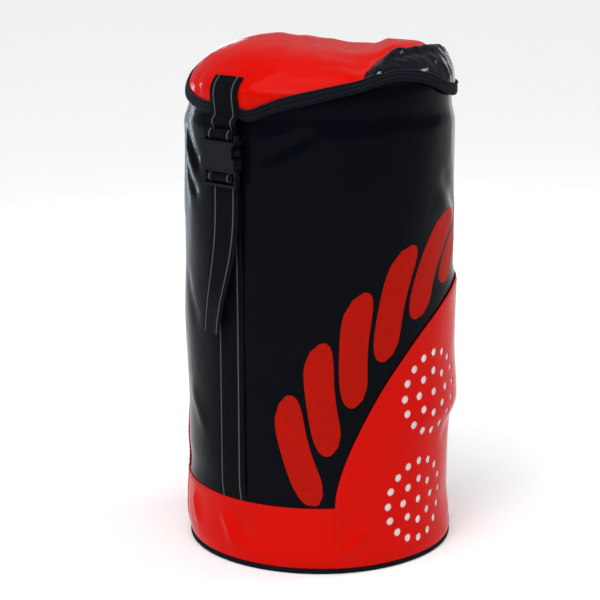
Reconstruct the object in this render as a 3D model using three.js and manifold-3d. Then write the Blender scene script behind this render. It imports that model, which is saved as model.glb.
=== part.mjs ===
// Rope storage bag for tree climbers: an upright round bag of glossy tarpaulin with a hinged lid,
// a side-release buckle on a closure strap, red base and side panels with drain holes, and
// shoulder straps on its padded back.
// Millimetres. +Z is up, the closure strap faces -Y, and the origin is the centre of the base.
// An azimuth is counted in degrees from the front (-Y) towards +X.
import * as THREE from 'three';
import { mergeVertices } from 'three/addons/utils/BufferGeometryUtils.js';
import Module from 'manifold-3d';

const wasm = await Module();
wasm.setup();

// Body
const FACETS = 48;
const BODY_R = 134;
const WALL = 2.5;
const GAP = 0.3;
const RIM_Z = 489;
const BAND_TOP = 70;
const TUCK_Z = 22;
const TUCK_IN = 4;
const PIPING_R = 3;
const BASE_THICK = 3;
const RIM_TAPE = 0.8;
const RIM_TAPE_OUTSIDE = 5;
const RIM_TAPE_INSIDE = 20;
const PANEL_FRONT_AZ = 47.4;
const PANEL_BACK_AZ = 150;
const PANEL_TOP = 279;

// Drain holes
const HOLE_R = 4.25;
const RING_COUNTS = [[0, 1], [22, 8], [41, 16]];
const ROSETTES = { lower: { az: 89, z: 65 }, upper: { az: 97, z: 175 } };
const MESH_R = 46.5;
const MESH_THICK = 0.8;

// Lid
const LID_R = 140;
const LID_WALL = 1.8;
const CROWN_Z = 522;
const SHOULDER_Z = 492;
const BINDING = 12.5;
const BINDING_THICK = 1.1;
const HEM_FRONT = 455;
const HEM_REAR = 466.5;

// Webbing and buckle
const WEBBING = 36;
const TAPE = 1.6;
const BUCKLE_Y = -144.5;
const BUCKLE_HALF = 21.6;
const PLUG_LOW = 391;
const PLUG_TOP = 408;
const SOCKET_LOW = 409;
const SOCKET_TOP = 442;
const STRAP_Y = -142.6;
const STRAP_PIVOT_Z = 449.9;

// Back
const PAD_R = 139.5;
const PAD_AZ = 27;
const PAD_LOW = 75;
const PAD_TOP = 402;
const HINGE_TAPE = { low: 453, high: 464, half: 66, thick: 1.5 };
const YOKE = { low: 380, high: 398, half: 50 };
const CARRY_AZ = 10;
const CARRY_WIDTH = 40;
const CARRY_THICK = 8;
const LOWER_WEBBING = { low: 78, high: 196, width: 25 };
const LOCK = { low: 178, high: 206, half: 16, slot: 8, bar: 4, rail: 3, thick: 4.5 };
const HANDLE_AXIS_Z = 440;
const HANDLE_Y = 139;
const HANDLE_HALF = 46;
const HANDLE_LEG = 18;
const HANDLE_DROP = 32;
const HANDLE_GRIP = 9;
const HANDLE_THICK = 6;
const TIE_LOOP_WIDTH = 20;

// Lengths that reach past the whole bag, for cutting
const FAR = 300;
const ABOVE = 600;

const BLACK = { color: 0x0b0e14, roughness: 0.22 };
const RED = { color: 0xc8120a, roughness: 0.3 };
const TAPE_BLACK = { color: 0x121317, roughness: 0.85 };
const PLASTIC = { color: 0x1b1c20, roughness: 0.5 };
const WHITE_MESH = { color: 0xe8ebe8, roughness: 0.9 };
const PAD_FABRIC = { color: 0x15161a, roughness: 0.95 };

const bag = new THREE.Group();

function add(name, geometry, look) {
  const material = new THREE.MeshStandardMaterial({ ...look, metalness: 0 });
  const mesh = new THREE.Mesh(geometry, material);
  mesh.name = name;
  bag.add(mesh);
}

// ---- solids and cuts ----

function toSolid(geometry) {
  const bare = geometry.clone();
  bare.deleteAttribute('normal');
  bare.deleteAttribute('uv');
  const merged = mergeVertices(bare, 1e-3);
  const index = merged.index.array;
  const kept = [];
  for (let i = 0; i < index.length; i += 3) {
    const [a, b, c] = [index[i], index[i + 1], index[i + 2]];
    if (a !== b && b !== c && c !== a) kept.push(a, b, c);
  }
  return new wasm.Manifold(new wasm.Mesh({
    numProp: 3,
    vertProperties: new Float32Array(merged.attributes.position.array),
    triVerts: new Uint32Array(kept),
  }));
}

function toGeometry(solid) {
  const mesh = solid.getMesh();
  const geometry = new THREE.BufferGeometry();
  geometry.setAttribute('position', new THREE.BufferAttribute(new Float32Array(mesh.vertProperties), 3));
  geometry.setIndex(new THREE.BufferAttribute(new Uint32Array(mesh.triVerts), 1));
  geometry.computeVertexNormals();
  return geometry;
}

// A ring about Z from a closed outline of [radius, z] points, up the outside and down the inside.
function turned(outline, segments = FACETS) {
  const points = outline.map(([r, z]) => new THREE.Vector2(r, z));
  if (outline[0][0] > 0) points.push(points[0].clone());
  return toSolid(new THREE.LatheGeometry(points, segments).rotateX(Math.PI / 2));
}

function tube(inner, outer, low, high) {
  return turned([[outer, low], [outer, high], [inner, high], [inner, low]]);
}

function shapeOf(points) {
  return new THREE.Shape(points.map(([u, v]) => new THREE.Vector2(u, v)));
}

// Outline of [y, z] points, pushed along X.
function alongX(points, x0, x1) {
  const geometry = new THREE.ExtrudeGeometry(shapeOf(points), { depth: x1 - x0, bevelEnabled: false });
  geometry.applyMatrix4(new THREE.Matrix4().set(0, 0, 1, x0, 1, 0, 0, 0, 0, 1, 0, 0, 0, 0, 0, 1));
  return toSolid(geometry);
}

// Shape of [x, z] points with any holes, pushed along Y.
function alongY(shape, y0, y1) {
  const geometry = new THREE.ExtrudeGeometry(shape, { depth: y1 - y0, bevelEnabled: false });
  return toSolid(geometry.rotateX(Math.PI / 2).translate(0, y1, 0));
}

// Outline of [x, y] points, pushed along Z.
function alongZ(points, z0, z1) {
  const geometry = new THREE.ExtrudeGeometry(shapeOf(points), { depth: z1 - z0, bevelEnabled: false });
  return toSolid(geometry.translate(0, 0, z0));
}

function box(x0, x1, y0, y1, z0, z1) {
  const geometry = new THREE.BoxGeometry(x1 - x0, y1 - y0, z1 - z0);
  return toSolid(geometry.translate((x0 + x1) / 2, (y0 + y1) / 2, (z0 + z1) / 2));
}

function rectangle(x0, x1, z0, z1) {
  return shapeOf([[x0, z0], [x1, z0], [x1, z1], [x0, z1]]);
}

function mirrored(points) {
  return points.map(([u, v]) => [-u, v]).reverse();
}

const radians = THREE.MathUtils.degToRad;

// A post of the given radius that crosses the wall square to it.
function radialPost(az, z, radius, sides) {
  const post = new THREE.CylinderGeometry(radius, radius, 20, sides);
  post.rotateZ(radians(az + 180));
  const reach = BODY_R - WALL / 2;
  return toSolid(post.translate(reach * Math.sin(radians(az)), -reach * Math.cos(radians(az)), z));
}

// The outline of a tape of even thickness that follows a path of [y, z] points.
function tapeOutline(path, thick) {
  const sides = [[], []];
  path.forEach((point, i) => {
    const here = new THREE.Vector2(...point);
    const before = new THREE.Vector2(...path[Math.max(i - 1, 0)]);
    const after = new THREE.Vector2(...path[Math.min(i + 1, path.length - 1)]);
    const into = (i ? here.clone().sub(before) : after.clone().sub(here)).normalize();
    const out = (i < path.length - 1 ? after.clone().sub(here) : here.clone().sub(before)).normalize();
    const normal = new THREE.Vector2(-(into.y + out.y), into.x + out.x).normalize();
    const half = thick / 2 / Math.max(normal.dot(new THREE.Vector2(-into.y, into.x)), 0.5);
    sides[0].push([here.x + normal.x * half, here.y + normal.y * half]);
    sides[1].push([here.x - normal.x * half, here.y - normal.y * half]);
  });
  return sides[0].concat(sides[1].reverse());
}

function tapeAlong(path, thick, width) {
  return alongX(tapeOutline(path, thick), -width / 2, width / 2);
}

// ---- the body ----

// Wall of the bag between two heights. Its lowest part tucks in towards the base seam.
function wall(low, high) {
  const inner = BODY_R - WALL;
  if (low > TUCK_Z) return tube(inner, BODY_R, low, high);
  const mid = (low + TUCK_Z) / 2;
  return turned([
    [BODY_R - TUCK_IN, low], [BODY_R - TUCK_IN / 4, mid], [BODY_R, TUCK_Z], [BODY_R, high],
    [inner, high], [inner, TUCK_Z], [inner - TUCK_IN / 4, mid], [inner - TUCK_IN, low],
  ]);
}

function depthAt(az) {
  return -BODY_R * Math.cos(radians(az));
}

// Side outline of a red panel: up from the base, then a long sweep back to the rear seam.
function sidePanelOutline(grow) {
  const sweep = new THREE.CubicBezierCurve(
    new THREE.Vector2(PANEL_FRONT_AZ, 72),
    new THREE.Vector2(PANEL_FRONT_AZ, 128),
    new THREE.Vector2(82, PANEL_TOP),
    new THREE.Vector2(130, PANEL_TOP),
  );
  const edge = sweep.getPoints(12).map((p) => [depthAt(p.x) - grow, p.y + grow]);
  const front = depthAt(PANEL_FRONT_AZ) - grow;
  const back = depthAt(PANEL_BACK_AZ) + grow;
  return [[back, -1], [back, PANEL_TOP + grow], ...edge.reverse(), [front, -1]];
}

function drainHoles(side) {
  const posts = [];
  for (const rosette of Object.values(ROSETTES)) {
    for (const [ringRadius, count] of RING_COUNTS) {
      for (let i = 0; i < count; i += 1) {
        const turn = (2 * Math.PI * i) / count;
        const shift = THREE.MathUtils.radToDeg((ringRadius * Math.cos(turn)) / BODY_R);
        const z = rosette.z + ringRadius * Math.sin(turn);
        posts.push(radialPost(side * (rosette.az + shift), z, HOLE_R, 6));
      }
    }
  }
  return posts.reduce((all, post) => all.add(post));
}

const SEAM_Z = 2 * PIPING_R + GAP;

function buildBody() {
  const shell = wall(BAND_TOP + GAP, RIM_Z);
  const low = wall(SEAM_Z, BAND_TOP);
  const whole = wall(SEAM_Z, PANEL_TOP);
  const frontEdge = depthAt(PANEL_FRONT_AZ);
  const backEdge = depthAt(PANEL_BACK_AZ);
  for (const [label, side] of [['left', -1], ['right', 1]]) {
    const span = [side > 0 ? GAP / 2 : -FAR, side > 0 ? FAR : -GAP / 2];
    const half = box(...span, -FAR, FAR, 0, ABOVE);
    const panelZone = alongX(sidePanelOutline(0), ...span);
    const grownZone = alongX(sidePanelOutline(GAP), ...span);
    add(`body_shell_${label}`, toGeometry(shell.intersect(half).subtract(grownZone)), BLACK);
    const panel = whole.intersect(panelZone).subtract(drainHoles(side));
    add(`side_panel_${label}`, toGeometry(panel), RED);
    for (const [level, rosette] of Object.entries(ROSETTES)) {
      const disc = radialPost(side * rosette.az, rosette.z, MESH_R, 20);
      const outer = BODY_R - WALL - MESH_THICK;
      const mesh = tube(outer - MESH_THICK, outer, SEAM_Z, PANEL_TOP).intersect(disc);
      add(`drain_mesh_${level}_${label}`, toGeometry(mesh), WHITE_MESH);
    }
  }
  const frontZone = box(-FAR, FAR, -FAR, frontEdge - GAP, 0, ABOVE);
  const rearZone = box(-FAR, FAR, backEdge + GAP, FAR, 0, ABOVE);
  add('base_band_front', toGeometry(low.intersect(frontZone)), RED);
  add('base_band_rear', toGeometry(low.intersect(rearZone)), RED);
}

function buildBaseAndRim() {
  const seamR = BODY_R - TUCK_IN + 1.2;
  const corner = PIPING_R / Math.cos(Math.PI / 8);
  const section = [];
  for (let i = 0; i < 8; i += 1) {
    const turn = Math.PI / 8 + (i * Math.PI) / 4;
    section.push([seamR + corner * Math.cos(turn), PIPING_R + corner * Math.sin(turn)]);
  }
  add('base_piping', toGeometry(turned(section)), TAPE_BLACK);
  const discR = seamR - PIPING_R - GAP;
  add('base_disc', toGeometry(turned([[0, 0], [discR, 0], [discR, BASE_THICK], [0, BASE_THICK]])), BLACK);
  const outer = BODY_R + GAP;
  const inner = BODY_R - WALL - GAP;
  const top = RIM_Z + GAP;
  add('rim_binding', toGeometry(turned([
    [outer, RIM_Z - RIM_TAPE_OUTSIDE], [outer + RIM_TAPE, RIM_Z - RIM_TAPE_OUTSIDE],
    [outer + RIM_TAPE, top + RIM_TAPE], [inner - RIM_TAPE, top + RIM_TAPE],
    [inner - RIM_TAPE, RIM_Z - RIM_TAPE_INSIDE], [inner, RIM_Z - RIM_TAPE_INSIDE],
    [inner, top], [outer, top],
  ])), TAPE_BLACK);
}

// ---- the lid ----

// The lid's hem from front to back as [y, z]: low at the strap, high at the sides.
const hemCurve = new THREE.SplineCurve([
  new THREE.Vector2(-146, HEM_FRONT - 1),
  new THREE.Vector2(-138, HEM_FRONT),
  new THREE.Vector2(-118, 466),
  new THREE.Vector2(-80, 481),
  new THREE.Vector2(-32, 486),
  new THREE.Vector2(30, 478),
  new THREE.Vector2(90, 468),
  new THREE.Vector2(146, HEM_REAR),
]);

function aboveHem(rise) {
  const edge = hemCurve.getPoints(18).map((p) => [p.x, p.y + rise]);
  return alongX([...edge, [edge.at(-1)[0], ABOVE], [edge[0][0], ABOVE]], -FAR, FAR);
}

function lidDome() {
  const low = HEM_FRONT - 10;
  const outside = [
    [LID_R, low], [LID_R, SHOULDER_Z], [138, 498], [133, 504], [124, 509.5], [108, 514.5],
    [85, 518.5], [55, 521], [0, CROWN_Z],
  ];
  const inside = [
    [0, CROWN_Z - LID_WALL], [54.9, 519.2], [84.6, 516.7], [107.4, 512.7], [123, 507.8],
    [131.6, 502.5], [136.3, 497.2], [LID_R - LID_WALL, SHOULDER_Z - 0.5], [LID_R - LID_WALL, low],
  ];
  return turned([...outside, ...inside]);
}

// Plan of the right-hand gusset: from the front of the side it reaches in over the top,
// towards the back.
function gussetPlan(grow) {
  const edge = [[124, -68], [112, -38], [92, 6], [72, 46], [68, 90], [70, 160]];
  const inner = edge.map(([x, y]) => [x - grow, y - grow / 2]);
  return [[160, -74], [160, 160], ...inner.reverse()];
}

function buildLid() {
  const dome = lidDome().intersect(aboveHem(0));
  const right = gussetPlan(0);
  const gussets = { left: mirrored(right), right };
  const grown = gussetPlan(GAP);
  const clear = alongZ(grown, 0, ABOVE).add(alongZ(mirrored(grown), 0, ABOVE));
  add('lid_top', toGeometry(dome.subtract(clear)), RED);
  for (const [label, plan] of Object.entries(gussets)) {
    add(`lid_gusset_${label}`, toGeometry(dome.intersect(alongZ(plan, 0, ABOVE))), BLACK);
  }
  const band = tube(LID_R + GAP, LID_R + GAP + BINDING_THICK, HEM_FRONT - 10, CROWN_Z);
  const hem = band.intersect(aboveHem(0)).subtract(aboveHem(BINDING));
  add('lid_binding', toGeometry(hem), TAPE_BLACK);
  const strap = [[STRAP_Y, STRAP_PIVOT_Z + 2], [STRAP_Y, SHOULDER_Z + 1]];
  add('lid_strap', toGeometry(tapeAlong(strap, TAPE, WEBBING)), TAPE_BLACK);
}

// ---- closure strap and buckle ----

function buildClosure() {
  const front = -BODY_R - GAP - TAPE / 2;
  const path = [
    [front, BAND_TOP + GAP], [front, 300], [-137.3, 378], [-138.3, 390], [-138.4, 402],
    [-139.6, 403.5], [-147.6, 403.5], [-148.7, 402.3], [-148.7, 398.2], [-147.6, 397.2],
    [-143, 396.6], [-141.2, 395.6], [-140.3, 393], [-140.3, 372], [-139.6, 356], [-138.6, 335],
    [-138, 242],
  ];
  add('closure_webbing', toGeometry(tapeAlong(path, TAPE, WEBBING)), TAPE_BLACK);
}

function buildPlug() {
  const half = BUCKLE_HALF - 0.5;
  const slot = WEBBING / 2 + 1;
  const frame = shapeOf([
    [-half, PLUG_LOW], [half, PLUG_LOW], [half, PLUG_TOP], [4, PLUG_TOP], [3, 426], [-3, 426],
    [-4, PLUG_TOP], [-half, PLUG_TOP],
  ]);
  frame.holes.push(rectangle(-slot, slot, 393.5, 399));
  frame.holes.push(rectangle(-slot, slot, 401.8, 405.3));
  add('buckle_plug', toGeometry(alongY(frame, BUCKLE_Y - 3, BUCKLE_Y + 3)), PLASTIC);
}

function buildProngs() {
  const right = [
    [10.6, 408.4], [14.9, 408.4], [15.5, 421], [18, 421.6], [23.2, 423], [23.2, 427.5],
    [16.8, 432], [12.6, 432.6], [11.1, 423],
  ];
  const outlines = { left: mirrored(right), right };
  for (const [label, outline] of Object.entries(outlines)) {
    const prong = alongY(shapeOf(outline), BUCKLE_Y - 2.5, BUCKLE_Y + 2.5);
    add(`buckle_prong_${label}`, toGeometry(prong), PLASTIC);
  }
}

function buildSocket() {
  const edge = [
    [BUCKLE_HALF, SOCKET_LOW], [BUCKLE_HALF, 418.5], [18.6, 421], [18.6, 431], [BUCKLE_HALF, 433.5],
    [BUCKLE_HALF, 435.5],
  ];
  const face = shapeOf([...edge, ...mirrored(edge)]);
  const top = rectangle(-BUCKLE_HALF, BUCKLE_HALF, 434.5, SOCKET_TOP);
  const slot = box(-18.6, 18.6, -FAR, 0, 436.3, 439.6);
  const cavity = box(-17.8, 17.8, BUCKLE_Y - 3.4, BUCKLE_Y + 3.4, SOCKET_LOW - 1, 433.5);
  const windows = box(-30, 30, BUCKLE_Y - 3.4, BUCKLE_Y + 3.4, 421, 431.5);
  const socket = alongY(face, BUCKLE_Y - 6, BUCKLE_Y + 6)
    .add(alongY(top, BUCKLE_Y - 2.5, BUCKLE_Y + 2.5))
    .subtract(cavity)
    .subtract(windows)
    .subtract(slot);
  add('buckle_socket', toGeometry(socket), PLASTIC);
}

// The end of the lid strap, wrapped round the socket's top bar and sewn back on itself.
function buildStrapLoop() {
  const path = [
    [STRAP_Y, STRAP_PIVOT_Z - 0.5], [-140.9, 443.5], [-140.8, 439], [-142.3, 437.9],
    [-146.7, 437.9], [-148.2, 439], [-148.2, 443], [-145.4, 446.2],
  ];
  add('lid_strap_loop', toGeometry(tapeAlong(path, TAPE, WEBBING)), TAPE_BLACK);
}

// ---- the back ----

function buildBack() {
  const rear = (half) => box(-half, half, 0, FAR, 0, ABOVE);
  const padHalf = BODY_R * Math.sin(radians(PAD_AZ));
  const pad = tube(BODY_R + GAP, PAD_R, PAD_LOW, PAD_TOP).intersect(rear(padHalf));
  add('back_pad', toGeometry(pad), PAD_FABRIC);
  const hinge = tube(BODY_R + GAP, BODY_R + GAP + HINGE_TAPE.thick, HINGE_TAPE.low, HINGE_TAPE.high);
  add('hinge_tape', toGeometry(hinge.intersect(rear(HINGE_TAPE.half))), TAPE_BLACK);
  const yoke = tube(PAD_R + GAP, PAD_R + GAP + TAPE, YOKE.low, YOKE.high);
  add('strap_yoke', toGeometry(yoke.intersect(rear(YOKE.half))), TAPE_BLACK);
}

function buildCarryStraps() {
  const padPath = [[144, 378], [146, 368], [153.5, 345], [153.5, 245], [147, 220], [145, 208]];
  const pad = tapeAlong(padPath, CARRY_THICK, CARRY_WIDTH);
  const webbingR = PAD_R + 1.2;
  const webbingPath = [[webbingR, LOWER_WEBBING.low], [webbingR, LOWER_WEBBING.high]];
  const webbing = tapeAlong(webbingPath, TAPE, LOWER_WEBBING.width);
  const lock = rectangle(-LOCK.half, LOCK.half, LOCK.low, LOCK.high);
  const inner = LOCK.half - LOCK.rail;
  lock.holes.push(rectangle(-inner, inner, LOCK.low + LOCK.bar, LOCK.low + LOCK.bar + LOCK.slot));
  lock.holes.push(rectangle(-inner, inner, LOCK.high - LOCK.bar - LOCK.slot, LOCK.high - LOCK.bar));
  const lockY = webbingR + TAPE / 2 + 0.4;
  const plate = alongY(lock, lockY, lockY + LOCK.thick);
  for (const [label, az] of [['left', CARRY_AZ], ['right', -CARRY_AZ]]) {
    add(`shoulder_pad_${label}`, toGeometry(pad.rotate([0, 0, az])), PAD_FABRIC);
    add(`lower_webbing_${label}`, toGeometry(webbing.rotate([0, 0, az])), TAPE_BLACK);
    add(`ladder_lock_${label}`, toGeometry(plate.rotate([0, 0, az])), PLASTIC);
  }
}

// A grab loop that hangs from two tabs at the top of the back.
function buildHaulHandle() {
  const low = HANDLE_AXIS_Z - HANDLE_DROP;
  const outer = HANDLE_HALF;
  const inner = HANDLE_HALF - HANDLE_LEG;
  const bend = 14;
  const grip = low + HANDLE_GRIP;
  const loop = new THREE.Shape();
  loop.moveTo(-outer, HANDLE_AXIS_Z);
  loop.lineTo(-outer, low + bend);
  loop.quadraticCurveTo(-outer, low, bend - outer, low);
  loop.lineTo(outer - bend, low);
  loop.quadraticCurveTo(outer, low, outer, low + bend);
  loop.lineTo(outer, HANDLE_AXIS_Z);
  loop.lineTo(inner, HANDLE_AXIS_Z);
  loop.lineTo(inner, grip + bend / 2);
  loop.quadraticCurveTo(inner, grip, inner - bend / 2, grip);
  loop.lineTo(bend / 2 - inner, grip);
  loop.quadraticCurveTo(-inner, grip, -inner, grip + bend / 2);
  loop.lineTo(-inner, HANDLE_AXIS_Z);
  const back = HANDLE_Y + HANDLE_THICK / 2;
  const geometry = new THREE.ExtrudeGeometry(loop, {
    depth: HANDLE_THICK, bevelEnabled: false, curveSegments: 4,
  });
  geometry.rotateX(Math.PI / 2).translate(0, back, 0);
  add('haul_handle', toGeometry(toSolid(geometry)), TAPE_BLACK);
  const tabLow = HANDLE_AXIS_Z + 3.3;
  const post = tube(1, BODY_R + GAP, tabLow - 1, HINGE_TAPE.low);
  for (const [label, x0] of [['left', -outer], ['right', inner]]) {
    const tab = box(x0, x0 + HANDLE_LEG, 100, back, tabLow, HINGE_TAPE.low - 1).subtract(post);
    add(`handle_tab_${label}`, toGeometry(tab), TAPE_BLACK);
  }
}

// A small webbing loop inside, low on the back wall, that the end of a rope is tied to.
function buildTieLoop() {
  const path = [[130, 52], [122, 50], [114, 44], [111, 34], [114, 24], [122, 18], [130, 16]];
  add('rope_tie_loop', toGeometry(tapeAlong(path, TAPE, TIE_LOOP_WIDTH)), TAPE_BLACK);
}

buildBody();
buildBaseAndRim();
buildLid();
buildClosure();
buildPlug();
buildProngs();
buildSocket();
buildStrapLoop();
buildBack();
buildCarryStraps();
buildHaulHandle();
buildTieLoop();

export default bag;
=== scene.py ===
# Rope storage bag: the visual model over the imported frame. Lengths are millimetres until MM turns them into
# metres. An azimuth is counted in degrees from the front (-Y) towards +X.
from math import atan2, cos, degrees, dist, exp, hypot, pi, radians, sin

import bmesh
import bpy
import numpy as np
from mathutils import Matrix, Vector, noise
from mathutils.geometry import delaunay_2d_cdt


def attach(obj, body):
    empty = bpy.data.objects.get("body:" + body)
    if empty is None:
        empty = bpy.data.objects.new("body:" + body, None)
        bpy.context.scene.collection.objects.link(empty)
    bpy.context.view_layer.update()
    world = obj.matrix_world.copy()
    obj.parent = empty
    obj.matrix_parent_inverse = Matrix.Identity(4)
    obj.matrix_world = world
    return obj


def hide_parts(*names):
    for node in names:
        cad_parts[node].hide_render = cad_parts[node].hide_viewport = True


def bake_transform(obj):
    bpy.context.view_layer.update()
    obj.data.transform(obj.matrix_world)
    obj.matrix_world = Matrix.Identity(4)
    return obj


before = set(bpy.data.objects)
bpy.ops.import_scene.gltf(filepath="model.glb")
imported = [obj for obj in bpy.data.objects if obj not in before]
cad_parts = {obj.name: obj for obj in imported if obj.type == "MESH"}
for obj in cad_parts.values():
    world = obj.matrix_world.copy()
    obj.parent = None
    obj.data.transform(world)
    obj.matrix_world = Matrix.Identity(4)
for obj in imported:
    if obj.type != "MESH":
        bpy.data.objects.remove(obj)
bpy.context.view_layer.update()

MM = 0.001

# ---- driving numbers, the same as the CAD ----

BODY_R = 134.0
ARC = radians(1) * BODY_R  # length round the bag for one degree
RIM_Z = 489.0
BAND_TOP = 70.0
SEAM_Z = 6.0
TUCK_Z, TUCK_IN = 22.0, 4.0  # below this height the cloth draws in by this much
PANEL_FRONT_AZ, PANEL_BACK_AZ = 47.4, 150.0
PANEL_TOP = 279.0
HOLE_R = 4.25
RINGS = ((0, 1), (22, 8), (41, 16))  # radius and number of holes
ROSETTES = {"lower": (89.0, 65.0), "upper": (97.0, 175.0)}  # azimuth and height
BINDING = 10.5
PIPING_R = 3.0
WEBBING, TAPE = 36.0, 1.8  # width and thickness of the closure's webbing
STRAP_Y, PIVOT_Z = -142.6, 449.9  # the bar that the socket hangs on
CARRY_AZ = 10.0  # each shoulder strap, from the middle of the back
NARROW, THIN = 25.0, 1.4  # width and thickness of the harness webbing
HANDLE_Y, HANDLE_LOW = 139.0, 412.4
HANDLE_WIDTH, HANDLE_HALF = 18.0, 37.0
SKIN = 0.9
CROWN_Z = 522.0
LID_R = 135.5
UNDER_LID_Z = 438.0  # from here up the cloth lies inside the lid
SIDEWAYS = Vector((1, 0, 0))


# ---- small helpers ----


def smooth(t):
    t = min(max(t, 0.0), 1.0)
    return t * t * (3 - 2 * t)


def hill(x, centre, width):
    return exp(-(((x - centre) / width) ** 2))


def along(table, x):
    """Value of a table of (place, value) pairs at x, with soft steps between the pairs."""
    if x <= table[0][0]:
        return table[0][1]
    for (x0, y0), (x1, y1) in zip(table, table[1:]):
        if x <= x1:
            return y0 + (y1 - y0) * smooth((x - x0) / (x1 - x0))
    return table[-1][1]


def wrap(az):
    return (az + 180) % 360 - 180


def spread(start, end, count):
    return [start + (end - start) * i / count for i in range(count + 1)]


def polar(az, rho):
    return (rho * sin(radians(az)), -rho * cos(radians(az)))


def radial(az, r, z):
    return Vector((*polar(az, r), z))


def folds(u, v, lines):
    """Height of the folds at (u, v). A line is (u0, v0, u1, v1, half width, height)."""
    total = 0.0
    for u0, v0, u1, v1, width, height in lines:
        du, dv = u1 - u0, v1 - v0
        length = hypot(du, dv)
        t = ((u - u0) * du + (v - v0) * dv) / length**2
        if -0.1 < t < 1.1:
            off = ((u - u0) * dv - (v - v0) * du) / length
            total += height * smooth(t * 3) * smooth((1 - t) * 3) * exp(-((off / width) ** 2))
    return total


def rumple(x, y, z, size):
    return noise.noise(Vector((x / size, y / size, z / size)))


# ---- the two surfaces that everything sewn follows ----

# how far the bag's two flanks stand out, as (height, distance)
LEFT_AZ, RIGHT_AZ = -49.0, 131.0
LEFT_BULGE = ((0, 3), (10, 3.8), (25, 4.2), (42, 3.3), (66, 2), (84, 1.2), (110, 3.3), (260, 5), (330, 4),
              (450, 4))
RIGHT_BULGE = ((0, 3.4), (10, 2.8), (22, 0.6), (55, -2.3), (110, -1), (128, 0.5), (152, 6.5), (205, 4.3),
               (268, 5.5), (296, 2.5), (455, 2.4), (489, 0.6))

# folds near the base, placed by length round the bag and height
BASE_FOLDS = [
    (-16, 62, 6, 14, 5, 3.6),
    (8, 58, 20, 20, 6, -3.0),
    (108, 16, 150, 42, 6, 3.2),
    (-72, 62, -54, 24, 5, 3.0),
    (24, 64, 74, 40, 7, 2.0),
]
# folds of the tube, placed by azimuth and height
TUBE_FOLDS = [
    (-42, 446, -16, 398, 6, -3.0),
    (-42, 412, -18, 366, 7, -2.8),
    (-44, 430, -17, 382, 6, 1.8),
    (10, 412, 42, 452, 8, -2.6),
    (12, 424, 34, 458, 6, 1.6),
    (10, 262, 34, 168, 12, 1.8),
    (12, 232, 30, 148, 9, -1.4),
    (-38, 300, -20, 232, 9, -1.6),
    (-34, 178, -14, 126, 9, 1.6),
    (100, 400, 128, 352, 10, -1.8),
    (96, 378, 124, 330, 10, 1.4),
    (60, 22, 76, 58, 7, -1.2),
    (104, 118, 134, 134, 7, -2.0),
    (-120, 430, -84, 380, 10, -2.2),
    (-98, 330, -64, 300, 10, 1.6),
    (-132, 150, -90, 128, 9, -1.8),
]
BODY_FOLDS = BASE_FOLDS + [(a * ARC, low, b * ARC, top, *rest) for a, low, b, top, *rest in TUBE_FOLDS]


def facing(az, centre, power):
    """1 at an azimuth and falling to 0 a quarter turn away, faster with more power."""
    return max(0.0, cos(radians(az - centre))) ** power


def body_radius(az, z):
    """The outer face of the bag's cloth."""
    x, y = polar(az, BODY_R)
    low = min(max((TUCK_Z - z) / TUCK_Z, 0), 1)
    r = BODY_R - TUCK_IN * low**2
    r += facing(az, LEFT_AZ, 3) * along(LEFT_BULGE, z) + facing(az, RIGHT_AZ, 4) * along(RIGHT_BULGE, z)
    held = smooth((z - 4) / 40)  # the base seam holds the cloth still, and so do the strap and the back pad
    front = 1 - facing(az, 0, 30) * smooth((z - 44) / 12)
    rear = 1 - facing(az, 180, 6)
    r += held * front * rear * (1.5 * rumple(x, y, z, 95) + 0.55 * rumple(x + 300, y, z * 0.7, 34))
    r += front * rear * folds(wrap(az) * ARC, z, BODY_FOLDS)
    if z > UNDER_LID_Z:
        inside = min(lid_point(az, hem_rho(az) - (z - hem_height(az)))[0] - 3.4, BODY_R - 1)
        r += (inside - r) * smooth((z - UNDER_LID_Z) / 22)
    return r


def on_body(u, v, depth):
    """From the body's flat map, length round the bag and height, to the cloth or depth below it."""
    az = u / ARC
    return radial(az, body_radius(az, v) - depth, v)


def rim_height(az):
    """The rim stands higher at the sides and dips at the front left."""
    sides = facing(az, 78, 8) + facing(az, -82, 8)
    return RIM_Z - 2 + 9 * sides + 1.5 * sin(radians(3 * az + 40)) - 9 * facing(az, -40, 10)


# the lid's hem, as (azimuth, height)
HEM = ((-180, 466.5), (-130, 468), (-106, 474), (-92, 487), (-76, 492), (-60, 486), (-45, 474), (-33, 466),
       (-24, 462), (-15, 459.8), (-6, 459.5), (6, 459.4), (9.5, 455.4), (12.5, 456.4), (18, 461.4),
       (26, 468.2), (33.5, 473.5), (43, 479), (53, 483.5), (59, 487), (66, 491), (75, 493.5), (87, 491.5),
       (97, 483.5), (106, 474.5), (120, 468.5), (150, 466.5), (180, 466.5))
HEM_AZ, HEM_Z = np.array(HEM).T


def hem_height(az):
    """The hem's height, evened out over a few degrees."""
    places = np.array([-2.6, -1.3, 0, 1.3, 2.6]) + az
    return float(np.interp(wrap(places), HEM_AZ, HEM_Z) @ np.array([1, 2, 3, 2, 1])) / 9


# folds on the lid's flat map, whose middle is the crown and whose front is -v
LID_FOLDS = [
    (-152, 20, -118, 58, 5, 1.6),
    (28, -146, 62, -112, 4, -1.8),
    (22, -150, 52, -122, 3.5, 1.6),
    (70, -128, 104, -112, 4, 1.4),
    (120, -78, 92, -30, 6, -1.4),
    (-40, -150, -64, -112, 5, -1.6),
    (-60, -60, -10, 40, 16, 1.2),
    (40, -60, 86, -20, 14, -1.0),
]


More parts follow.
